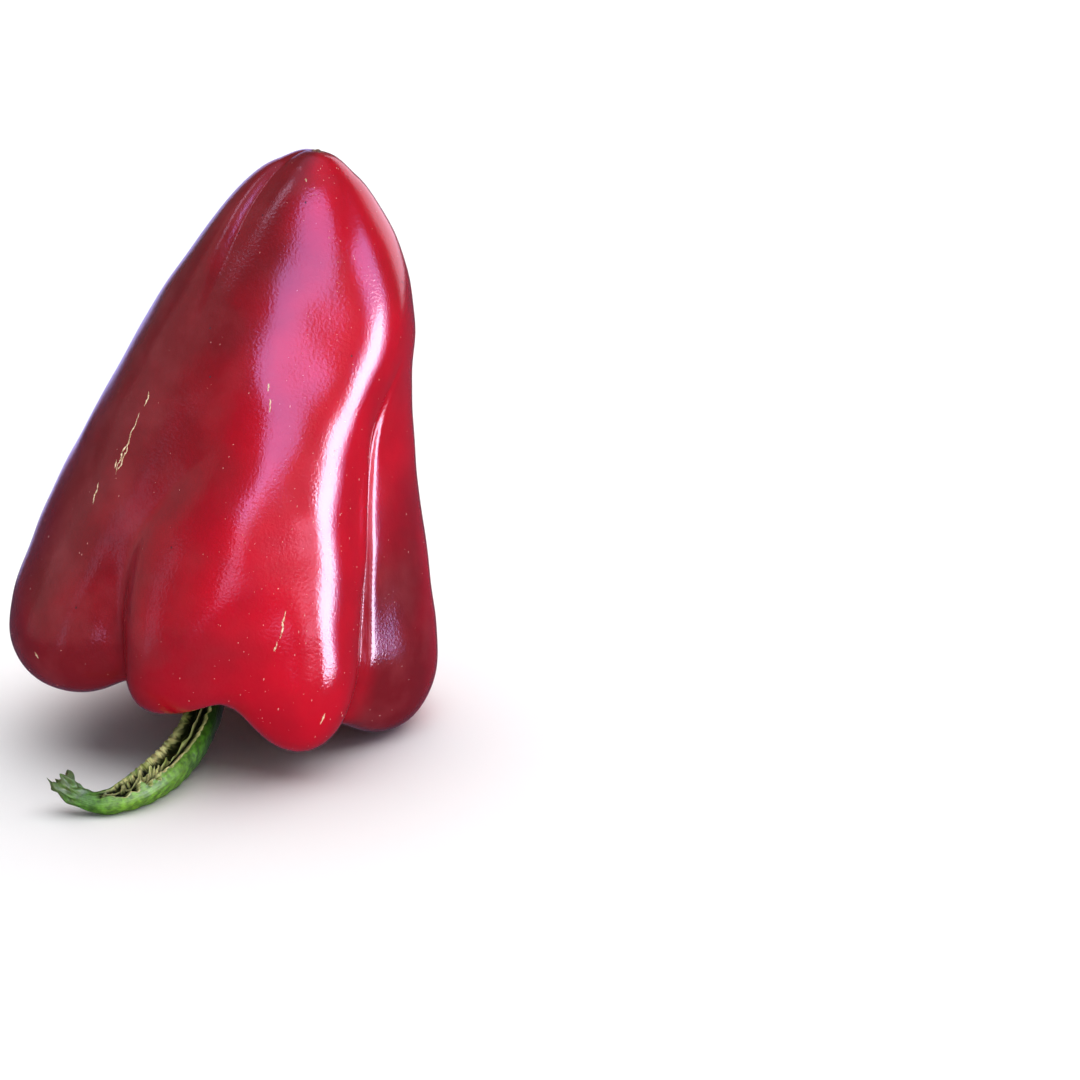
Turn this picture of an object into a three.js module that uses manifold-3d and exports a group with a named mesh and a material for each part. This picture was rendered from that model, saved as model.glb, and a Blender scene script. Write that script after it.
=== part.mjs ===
// A whole sweet pepper. It rests on its shoulders with the blossom end up, and its own stem, bent out
// from under it, props it in front. Millimetres, +Z up, the table at z = 0.
//
// Three solids: the fruit, the calyx in the hollow between its shoulders, and the torn stem.
//
// The fruit's skin is a function of two numbers. A bearing, in degrees, turns anticlockwise seen from
// above, with 0 at +X and 270 at the front (-Y). A place runs from 0, the middle of the stem hollow, over
// the shoulders and up the side to 1, the blossom end.

import * as THREE from 'three';
import { mergeVertices } from 'three/addons/utils/BufferGeometryUtils.js';
import Module from 'manifold-3d';

// ---- driving dimensions -------------------------------------------------------------------------

// The upright fruit's half outline: radius and height of the control points of a smooth curve, from the
// stem hollow, over the shoulders, to the blossom end.
const FRUIT_OUTLINE = [
  [0, 12], [9, 12], [18.5, 5], [22.5, -14.5], [37, -14.5], [41, -3], [37.5, 10], [34.5, 22],
  [30.5, 34], [27, 46], [24, 57], [20, 68], [15, 78], [9, 85.5], [3, 88], [0, 88],
];
const FRUIT_DEPTH = 0.92;                 // front to back, as a share of side to side
const AXIS_DRIFT = [[0, 0], [20, -1], [45, -0.5], [70, 1], [98, -0.5]];   // height, sideways

// How the fruit stands: its blossom end tilts to the right (+X) and leans away (+Y), in degrees.
const TILT_RIGHT = 12;
const LEAN_AWAY = 4;

// The lobes. Each groove or swelling follows a bearing that changes with place, and has a height
// (negative is a groove) and a width in millimetres that change with place too. sides widens the
// clockwise and the anticlockwise flank by different shares. A fold is a groove on its clockwise flank and
// a swelling on the other.
const LEFT_GROOVE = {
  kind: 'groove',
  bearing: [
    [0.1, 243], [0.25, 243.5], [0.33, 241.5], [0.4, 238],
    [0.45, 239], [0.5, 245], [0.55, 254], [0.62, 262],
  ],
  height: [
    [0, 0], [0.08, -1.5], [0.18, -4.5], [0.28, -7],
    [0.36, -6], [0.44, -3.4], [0.52, -1.6], [0.62, 0],
  ],
  width: [[0.1, 3], [0.3, 3.4], [0.5, 5]],
  sides: [2, 0.8],
};
const UPPER_CREASE = {
  kind: 'groove',
  bearing: [[0.6, 234], [0.7, 230], [0.76, 222], [0.82, 213], [0.88, 206], [1, 200]],
  height: [[0.62, 0], [0.7, -0.9], [0.78, -1.7], [0.85, -1.6], [0.92, -0.6], [0.97, 0]],
  width: [[0.6, 4], [0.8, 2.6], [1, 2.4]],
  sides: [0.7, 3],
};
const RIGHT_GROOVE = {
  kind: 'fold',
  bearing: [
    [0.1, 316], [0.27, 317], [0.36, 320], [0.46, 322],
    [0.53, 322], [0.58, 323], [0.63, 328], [0.7, 338],
  ],
  height: [
    [0, 0], [0.08, -2], [0.18, -4.5], [0.28, -6], [0.38, -5],
    [0.48, -4], [0.57, -2.8], [0.63, -1.2], [0.7, 0],
  ],
  width: [[0.1, 1.5], [0.22, 1.8], [0.34, 3], [0.5, 3.4], [0.6, 3.6], [0.7, 4]],
  sides: [1.8, 4.4],
};
const RIGHT_CREASE = {
  kind: 'groove',
  bearing: [
    [0.1, 316], [0.27, 317], [0.36, 320], [0.46, 322],
    [0.53, 322], [0.58, 323], [0.63, 328], [0.7, 338],
  ],
  height: [[0.1, 0], [0.2, -1.6], [0.3, -1.8], [0.5, -1.3], [0.6, -0.8], [0.68, 0]],
  width: [[0.1, 1]],
  sides: [1.4, 0.8],
};
const BACK_GROOVE = {
  kind: 'groove',
  bearing: [[0.1, 50], [0.5, 52], [1, 60]],
  height: [
    [0, 0], [0.1, -2], [0.22, -5], [0.3, -6.5], [0.4, -5],
    [0.55, -3], [0.75, -1.2], [0.9, -0.4], [0.95, 0],
  ],
  width: [[0.1, 3], [0.3, 4], [0.6, 8]],
};
const FAR_GROOVE = {
  kind: 'groove',
  bearing: [[0.1, 142], [0.5, 140], [1, 135]],
  height: [
    [0, 0], [0.1, -2], [0.22, -5], [0.3, -6], [0.4, -5],
    [0.55, -3], [0.75, -1.2], [0.9, -0.4], [0.95, 0],
  ],
  width: [[0.1, 3], [0.3, 4], [0.6, 8]],
};
const FRONT_DIP = {
  kind: 'groove',
  bearing: [[0.1, 276], [0.4, 277]],
  height: [[0.06, 0], [0.15, -3.5], [0.25, -7], [0.31, -5.5], [0.37, -1.8], [0.44, 0]],
  width: [[0, 8]],
};
const FRONT_FLAT = {
  kind: 'swelling',
  bearing: [[0.6, 283], [0.7, 279], [0.8, 272], [0.9, 270]],
  height: [[0.56, 0], [0.64, -0.5], [0.72, -1.6], [0.8, -1.9], [0.88, -0.8], [0.94, 0]],
  width: [[0.6, 9], [0.8, 9], [0.9, 7]],
};
const FRONT_RIDGE = {
  kind: 'swelling',
  bearing: [[0.38, 262], [0.42, 266], [0.5, 272], [0.56, 276], [0.62, 278]],
  height: [[0.3, 0], [0.4, 1], [0.5, 1.6], [0.6, 0.8], [0.7, 0]],
  width: [[0, 6]],
};
const RIGHT_FRONT_RIDGE = {
  kind: 'swelling',
  bearing: [
    [0.25, 300], [0.35, 299], [0.45, 297], [0.53, 296],
    [0.59, 299], [0.65, 309], [0.7, 316], [0.78, 314],
  ],
  height: [[0.1, 0], [0.2, 1.6], [0.3, 2.8], [0.45, 2.4], [0.55, 2.2], [0.65, 1.8], [0.78, 0.8], [0.85, 0]],
  width: [[0.3, 7], [0.5, 7], [0.65, 6]],
};
const INNER_FOLD = {
  kind: 'swelling',
  bearing: [[0.4, 318], [0.55, 317]],
  height: [[0.42, 0], [0.48, 1.1], [0.54, 1.1], [0.6, 0]],
  width: [[0.4, 1.6]],
};
const LEFT_FOOT = {
  kind: 'swelling',
  bearing: [[0.1, 208]],
  height: [[0.12, 0], [0.22, 2], [0.3, 1.8], [0.4, 0]],
  width: [[0, 11]],
};
const RIGHT_FOOT = {
  kind: 'swelling',
  bearing: [[0.1, 330], [0.24, 331], [0.34, 346]],
  height: [[0.12, 0], [0.22, 2.4], [0.3, 1.2], [0.4, 0.4], [0.5, 0.5], [0.62, 0]],
  width: [[0, 11]],
};
const BACK_FOOT = {
  kind: 'swelling',
  bearing: [[0.1, 92]],
  height: [[0.1, 0], [0.22, 5.9], [0.28, 3.5], [0.36, 0.8], [0.46, 0]],
  width: [[0, 11]],
};
const RELIEF = [
  LEFT_GROOVE, UPPER_CREASE, RIGHT_GROOVE, RIGHT_CREASE, BACK_GROOVE, FAR_GROOVE, FRONT_DIP,
  FRONT_FLAT, FRONT_RIDGE, RIGHT_FRONT_RIDGE, INNER_FOLD, LEFT_FOOT, RIGHT_FOOT, BACK_FOOT,
];
const SMALLEST_ARM = 7;                   // near the axis a groove is no narrower than at this radius

// The calyx, a cap that hugs the hollow, with blunt points around its edge.
const CALYX_REACH = 0.1;                  // place of its edge
const CALYX_POINTS = 6;
const CALYX_POINT_DEPTH = 0.16;           // share of the reach
const CALYX_THICKNESS = 2.6;
const JOINT_GAP = 0.35;                   // clearance between fruit and calyx, and calyx and stem
const STEM_SQUARE = 2.5;                  // straight start of the stem, square to the calyx

// The stem: the middle of its path over the table, from below the calyx, down and forward, then along
// the table to its torn end at the left. x and y are measured from the foot of the fruit's axis.
const STEM_PATH = [
  [-0.8, -1.5, 22], [-2.5, -6.5, 13.5], [-3.8, -13.5, 6.8], [-5.4, -20, 4.2], [-7.3, -27, 3.4],
  [-10, -34.5, 3.2], [-13.3, -39.5, 2.8], [-17.2, -42, 2.1], [-20.2, -42.5, 2.4], [-23.2, -42.3, 3.8],
  [-25.4, -41.8, 6.2],
];
const STEM_RADIUS = [
  [0, 4.4], [0.12, 3.4], [0.4, 3.3], [0.6, 3.5], [0.7, 3.4], [0.79, 2.9], [0.86, 2.2], [0.91, 1.7], [1, 1.9],
];
const PEELED = { from: 0.34, to: 0.9, turn: 318, width: 45, depth: 0.9 };   // channel left by the torn skin
const TORN_POINTS = 2;                    // splinters at the torn end
const TORN_LENGTH = 1.5;

const FLAT_DEPTH = 0.25;                  // how far the fruit's resting places are pressed flat

// Facets: columns around and rows along each solid.
const FRUIT_GRID = [64, 44];
const CALYX_GRID = [48, 12];
const STEM_GRID = [14, 38];

const FRUIT_RED = 0xa8122b;
const CALYX_GREEN = 0x4c7a2a;
const STEM_GREEN = 0x6f9e38;

// ---- curves -------------------------------------------------------------------------------------

// Smooth curve through [place, value] knots. It is level at both ends.
function smooth(knots, place) {
  const last = knots.length - 1;
  if (place <= knots[0][0]) return knots[0][1];
  if (place >= knots[last][0]) return knots[last][1];
  const slope = (i) => (i === 0 || i === last ? 0 : centralSlope(knots, i));
  const i = knots.findIndex((knot) => knot[0] > place) - 1;
  const step = knots[i + 1][0] - knots[i][0];
  const t = (place - knots[i][0]) / step;
  return (2 * t ** 3 - 3 * t ** 2 + 1) * knots[i][1] + (t ** 3 - 2 * t ** 2 + t) * step * slope(i)
    + (-2 * t ** 3 + 3 * t ** 2) * knots[i + 1][1] + (t ** 3 - t ** 2) * step * slope(i + 1);
}

// Slope at an inner knot, from its two neighbours, weighted by how near each is.
function centralSlope(knots, i) {
  const before = knots[i][0] - knots[i - 1][0];
  const after = knots[i + 1][0] - knots[i][0];
  const slopeBefore = (knots[i][1] - knots[i - 1][1]) / before;
  const slopeAfter = (knots[i + 1][1] - knots[i][1]) / after;
  return (after * slopeBefore + before * slopeAfter) / (before + after);
}

// Radius and height of the fruit's half outline: a uniform cubic B-spline whose ends are mirrored across
// the axis, so that the fruit is smooth at both poles.
function outline(place) {
  const mirrored = ([radius, height]) => [-radius, height];
  const points = [mirrored(FRUIT_OUTLINE[1]), ...FRUIT_OUTLINE, mirrored(FRUIT_OUTLINE.at(-2))];
  const spans = points.length - 3;
  const at = THREE.MathUtils.clamp(place, 0, 1) * spans;
  const i = Math.min(Math.floor(at), spans - 1);
  const t = at - i;
  const weights = [(1 - t) ** 3, 3 * t ** 3 - 6 * t ** 2 + 4, -3 * t ** 3 + 3 * t ** 2 + 3 * t + 1, t ** 3];
  const mix = (axis) => weights.reduce((sum, weight, k) => sum + weight * points[i + k][axis], 0) / 6;
  return [mix(0), mix(1)];
}

// ---- the fruit's skin ---------------------------------------------------------------------------

// A point of the skin before its grooves: the outline turned about the axis, flattened and drifted.
function plainSkin(bearing, place) {
  const [radius, height] = outline(place);
  const angle = THREE.MathUtils.degToRad(bearing);
  return new THREE.Vector3(
    radius * Math.cos(angle) + smooth(AXIS_DRIFT, height),
    radius * Math.sin(angle) * FRUIT_DEPTH,
    height,
  );
}

// Outward direction of the plain skin, from two small steps on it. At the poles it is the axis.
function skinNormal(bearing, place) {
  const step = 0.001;
  if (place < step) return new THREE.Vector3(0, 0, -1);
  if (place > 1 - step) return new THREE.Vector3(0, 0, 1);
  const around = plainSkin(bearing + 0.5, place).sub(plainSkin(bearing - 0.5, place));
  const along = plainSkin(bearing, place + step).sub(plainSkin(bearing, place - step));
  return around.cross(along).normalize();
}

// Height of all grooves and swellings together, at one point of the skin.
function relief(bearing, place) {
  const arm = Math.max(outline(place)[0], SMALLEST_ARM);
  let total = 0;
  for (const { kind, bearing: path, height, width, sides = [1, 1] } of RELIEF) {
    const away = THREE.MathUtils.euclideanModulo(bearing - smooth(path, place) + 180, 360) - 180;
    const distance = THREE.MathUtils.degToRad(away) * arm;
    const reach = smooth(width, place) * (distance < 0 ? sides[0] : sides[1]);
    const ratio = (distance / reach) ** 2;
    const longTailed = kind === 'groove' || (kind === 'fold' && distance < 0);
    total += smooth(height, place) * (longTailed ? 1 / (1 + ratio) : Math.exp(-ratio / 2));
  }
  return total;
}

// A point of the finished skin, or one lifted off it.
function skin(bearing, place, lift = 0) {
  const raised = relief(bearing, place) + lift;
  return plainSkin(bearing, place).addScaledVector(skinNormal(bearing, place), raised);
}

// ---- solids -------------------------------------------------------------------------------------

// A closed solid whose surface is pointAt(turn, down): turn in degrees, anticlockwise seen from the
// upper pole, and down from 0 at the upper pole to 1 at the lower one. It moves a sphere's vertices.
function closedSolid([columns, rows], pointAt) {
  const geometry = new THREE.SphereGeometry(1, columns, rows);
  const position = geometry.attributes.position;
  for (let i = 0; i < position.count; i += 1) {
    const row = Math.floor(i / (columns + 1));
    const atPole = row === 0 || row === rows;
    const column = atPole ? 0 : (i % (columns + 1)) % columns;
    const point = pointAt((360 * column) / columns, row / rows);
    position.setXYZ(i, point.x, point.y, point.z);
  }
  geometry.deleteAttribute('normal');
  geometry.deleteAttribute('uv');
  return mergeVertices(geometry);
}

function fruitGeometry() {
  return closedSolid(FRUIT_GRID, (turn, down) => skin(turn, 1 - down));
}

// The calyx's upper half is its face against the fruit, its lower half the face that shows.
function calyxGeometry() {
  return closedSolid(CALYX_GRID, (turn, down) => {
    const wave = Math.cos(THREE.MathUtils.degToRad(turn * CALYX_POINTS));
    const edge = CALYX_REACH * (1 + CALYX_POINT_DEPTH * wave);
    const share = down < 0.5 ? 2 * down : 2 * (1 - down);
    const thickness = down < 0.5 ? 0 : CALYX_THICKNESS * Math.sqrt(1 - share ** 2);
    return skin(turn, edge * share, JOINT_GAP + thickness);
  });
}

// The stem's path: it leaves the middle of the calyx square on, then follows STEM_PATH.
function stemCurve(root, downAxis) {
  const below = (distance) => root.clone().addScaledVector(downAxis, distance);
  const start = CALYX_THICKNESS + 3 * JOINT_GAP;
  const square = [below(start), below(start + STEM_SQUARE)];
  const points = STEM_PATH.map((xyz) => new THREE.Vector3(...xyz));
  return new THREE.CatmullRomCurve3([...square, ...points], false, 'centripetal');
}

// Rings square to the path, narrowed by the peeled channel. The last ring is pulled into splinters, and
// the lower pole is sunk between them.
function stemGeometry(curve) {
  const rings = STEM_GRID[1] - 2;
  const frames = curve.computeFrenetFrames(rings, false);
  return closedSolid(STEM_GRID, (turn, down) => {
    const ring = Math.round(down * STEM_GRID[1]) - 1;
    const k = THREE.MathUtils.clamp(ring, 0, rings);
    const along = k / rings;
    const centre = curve.getPointAt(along);
    if (ring < 0) return centre;
    if (ring > rings) return centre.addScaledVector(frames.tangents[k], -TORN_LENGTH);
    const fromChannel = THREE.MathUtils.euclideanModulo(turn - PEELED.turn + 180, 360) - 180;
    const { from, to } = PEELED;
    const length = smooth([[from, 0], [from + 0.08, 1], [to - 0.08, 1], [to, 0]], along);
    const channel = PEELED.depth * length * Math.exp(-((fromChannel / PEELED.width) ** 2));
    const radius = smooth(STEM_RADIUS, along) - channel;
    const angle = THREE.MathUtils.degToRad(turn);
    const splinter = k === rings ? TORN_LENGTH * Math.cos(angle * TORN_POINTS) : 0;
    return centre
      .addScaledVector(frames.normals[k], radius * Math.cos(angle))
      .addScaledVector(frames.binormals[k], -radius * Math.sin(angle))
      .addScaledVector(frames.tangents[k], splinter);
  });
}

// ---- standing on the table ----------------------------------------------------------------------

const wasm = await Module();
wasm.setup();

function toManifold(geometry) {
  return new wasm.Manifold(new wasm.Mesh({
    numProp: 3,
    vertProperties: new Float32Array(geometry.attributes.position.array),
    triVerts: new Uint32Array(geometry.index.array),
  }));
}

function toGeometry(manifold) {
  const { vertProperties, triVerts } = manifold.getMesh();
  const geometry = new THREE.BufferGeometry();
  geometry.setAttribute('position', new THREE.BufferAttribute(new Float32Array(vertProperties), 3));
  geometry.setIndex(new THREE.BufferAttribute(new Uint32Array(triVerts), 1));
  return geometry;
}

// Takes off what lies below the table, which leaves true flat faces to rest on.
function pressedFlat(geometry) {
  const size = 400;
  const belowTable = new THREE.BoxGeometry(size, size, size).translate(0, 0, -size / 2);
  for (const name of ['normal', 'uv']) belowTable.deleteAttribute(name);
  return toGeometry(toManifold(geometry).subtract(toManifold(mergeVertices(belowTable))));
}

function finished(name, geometry, color, roughness) {
  const faceted = geometry.toNonIndexed();
  faceted.computeVertexNormals();
  const mesh = new THREE.Mesh(faceted, new THREE.MeshStandardMaterial({ color, roughness, metalness: 0 }));
  mesh.name = name;
  return mesh;
}

const tilt = THREE.MathUtils.degToRad(TILT_RIGHT);
const lean = THREE.MathUtils.degToRad(LEAN_AWAY);
const standing = new THREE.Matrix4().makeRotationFromEuler(new THREE.Euler(-lean, tilt, 0, 'XYZ'));

const fruit = fruitGeometry().applyMatrix4(standing);
const calyx = calyxGeometry().applyMatrix4(standing);
fruit.computeBoundingBox();
const lift = -fruit.boundingBox.min.z - FLAT_DEPTH;
fruit.translate(0, 0, lift);
calyx.translate(0, 0, lift);

const root = skin(0, 0).applyMatrix4(standing).setZ(skin(0, 0).applyMatrix4(standing).z + lift);
const downAxis = new THREE.Vector3(0, 0, -1).transformDirection(standing);
const stem = stemGeometry(stemCurve(root, downAxis));

const pepper = new THREE.Group();
pepper.add(finished('fruit', pressedFlat(fruit), FRUIT_RED, 0.28));
pepper.add(finished('calyx', calyx, CALYX_GREEN, 0.6));
pepper.add(finished('stem', pressedFlat(stem), STEM_GREEN, 0.5));

// The origin is on the table, under the middle of the whole pepper.
const middle = new THREE.Box3().setFromObject(pepper).getCenter(new THREE.Vector3());
pepper.position.set(-middle.x, -middle.y, 0);

export default pepper;
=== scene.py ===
# %% [markdown]
# # A ripe sweet pepper, standing on its shoulders
#
# A sweet pepper is a hollow berry. Its skin is a thin, tight, waxy film over red flesh, and its lobes are
# the chambers inside pushing outwards. This one stands with its blossom end up. The green stem has bent out
# from under it and props it in front.
#
# The lesson builds three grown pieces (fruit, calyx and stem) and the small dry marks on the skin. Every
# surface is a formula on a grid of two numbers, worked out with numpy as whole arrays.

# %% Load the frame
import math

import bpy
import numpy as np
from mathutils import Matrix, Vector


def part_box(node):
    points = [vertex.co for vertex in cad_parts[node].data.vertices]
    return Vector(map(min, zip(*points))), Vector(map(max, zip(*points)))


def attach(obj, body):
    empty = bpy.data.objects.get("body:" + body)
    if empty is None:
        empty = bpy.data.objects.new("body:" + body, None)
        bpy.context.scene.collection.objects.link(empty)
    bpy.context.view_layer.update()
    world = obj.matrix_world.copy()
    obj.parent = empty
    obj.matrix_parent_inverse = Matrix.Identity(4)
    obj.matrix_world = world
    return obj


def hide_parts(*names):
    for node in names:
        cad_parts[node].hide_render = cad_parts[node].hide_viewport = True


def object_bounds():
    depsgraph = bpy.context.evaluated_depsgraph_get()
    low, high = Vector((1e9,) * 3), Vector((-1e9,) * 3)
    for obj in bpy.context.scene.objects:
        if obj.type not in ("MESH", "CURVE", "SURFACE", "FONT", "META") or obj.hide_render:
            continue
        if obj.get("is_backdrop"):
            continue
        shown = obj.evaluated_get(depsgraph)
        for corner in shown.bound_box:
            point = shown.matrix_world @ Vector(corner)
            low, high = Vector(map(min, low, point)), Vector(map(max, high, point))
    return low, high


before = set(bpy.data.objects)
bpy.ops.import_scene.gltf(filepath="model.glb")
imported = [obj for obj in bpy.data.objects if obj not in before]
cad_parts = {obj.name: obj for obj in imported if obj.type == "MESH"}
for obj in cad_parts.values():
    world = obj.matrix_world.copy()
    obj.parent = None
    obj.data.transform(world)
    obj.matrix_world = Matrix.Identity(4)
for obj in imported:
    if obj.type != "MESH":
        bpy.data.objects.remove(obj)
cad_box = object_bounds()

MM = 0.001
print("CAD nodes:", sorted(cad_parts))
print("CAD box in mm:", [[round(x / MM, 1) for x in corner] for corner in cad_box])

# %% [markdown]
# ## Two small helpers
#
# Colours are easiest to read as the hex codes of a screen, which are sRGB. Blender's shaders want linear
# light, so one function turns one into the other. A second one adds a shader node with its settings and its
# links in one go, which keeps every material below short.

# %% Colour and node helpers
def linear(hex_colour):
    """Linear RGBA of an sRGB hex code. A dark channel is c / 12.92, and any other is
    ((c + 0.055) / 1.055) ** 2.4."""
    code = hex_colour.lstrip("#")
    channels = np.array([int(code[i:i + 2], 16) for i in (0, 2, 4)]) / 255
    bright = ((channels + 0.055) / 1.055) ** 2.4
    return (*np.where(channels <= 0.04045, channels / 12.92, bright).tolist(), 1.0)


def add(tree, kind, links=None, **settings):
    """Adds a node. A setting names a property of the node or else an input socket, and links maps inputs to
    the outputs that feed them."""
    node = tree.nodes.new(kind)
    for name, value in settings.items():
        if hasattr(node, name):
            setattr(node, name, value)
        else:
            node.inputs[name.replace("_", " ")].default_value = value
    for name, output in (links or {}).items():
        tree.links.new(output, node.inputs[name])
    return node


print("helpers ready; pepper red in linear light:", [round(c, 3) for c in linear("#b5122b")])

# %% [markdown]
# ## Smooth curves from a few numbers
#
# A fruit has no corners, so its outline is a B-spline: a few control points that pull a curve towards them
# without touching it. What changes along the fruit, such as the depth of a groove, is a smooth curve
# through (place, value) knots. Both work on whole arrays at once.

# %% Curves
def smooth(knots, at):
    """Cubic Hermite curve through (x, y) knots. A knot's slope is the mean of the slopes beside it, where
    the nearer neighbour counts more, and zero at both ends."""
    xs, ys = np.array(knots, float).T
    if len(xs) == 1:
        return np.full_like(np.asarray(at, float), ys[0])
    slopes = np.gradient(ys, xs)
    slopes[[0, -1]] = 0
    at = np.clip(at, xs[0], xs[-1])
    i = np.clip(np.searchsorted(xs, at, side="right") - 1, 0, len(xs) - 2)
    step = xs[i + 1] - xs[i]
    t = (at - xs[i]) / step
    return ((2 * t**3 - 3 * t**2 + 1) * ys[i] + (t**3 - 2 * t**2 + t) * step * slopes[i]
            + (3 * t**2 - 2 * t**3) * ys[i + 1] + (t**3 - t**2) * step * slopes[i + 1])


def spline(points, place):
    """Uniform cubic B-spline over place 0 to 1. Its ends are mirrored across the axis, for a smooth pole."""
    p = np.array(points, float)
    mirror = np.array([-1.0, 1.0])
    p = np.vstack([p[1] * mirror, p, p[-2] * mirror])
    spans = len(p) - 3
    at = np.clip(place, 0, 1) * spans
    i = np.minimum(at.astype(int), spans - 1)
    t = (at - i)[..., None]
    return ((1 - t)**3 * p[i] + (3 * t**3 - 6 * t**2 + 4) * p[i + 1]
            + (3 * t**2 - 3 * t**3 + 3 * t + 1) * p[i + 2] + t**3 * p[i + 3]) / 6


def unit(vectors):
    """Vectors made one long."""
    return vectors / np.maximum(np.linalg.norm(vectors, axis=-1, keepdims=True), 1e-9)


print("half way along a curve from 0 to 1:", smooth([(0, 0), (1, 1)], np.array([0.5])))

# %% [markdown]
# ## The shape of the fruit
#
# A point of the skin has a bearing, in degrees around the fruit, and a place, from 0 in the middle of the
# stem hollow to 1 at the blossom end. The plain skin is the outline turned about the axis. Each lobe is cut
# free by a groove, and the grooves and swellings are only heights added along the skin's normal. Sculpting
# could do the same by hand, but a formula can be read, measured and corrected.

# %% Outline of the fruit, in millimetres
# Points are (distance from the axis, height), from the middle of the stem hollow to the blossom end.
OUTLINE = [(0, 12), (9, 12), (18.5, 5), (22.5, -14.5), (37, -14.5), (41, -3), (37.5, 10), (34.5, 22),
           (30.5, 34), (27, 46), (24, 57), (20, 68), (15, 78), (9, 85.5), (3, 88), (0, 88)]
DEPTH = 0.92                                                # front to back, as a share of the width
AXIS_DRIFT = [(0, 0), (20, -1), (45, -0.5), (70, 1), (98, -0.5)]   # (height, shift to the right)
TILT_RIGHT, LEAN_AWAY = 12, 4                               # degrees, about Y and then about X
print(len(OUTLINE), "outline points, widest at", max(r for r, _ in OUTLINE), "mm from the axis")

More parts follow.
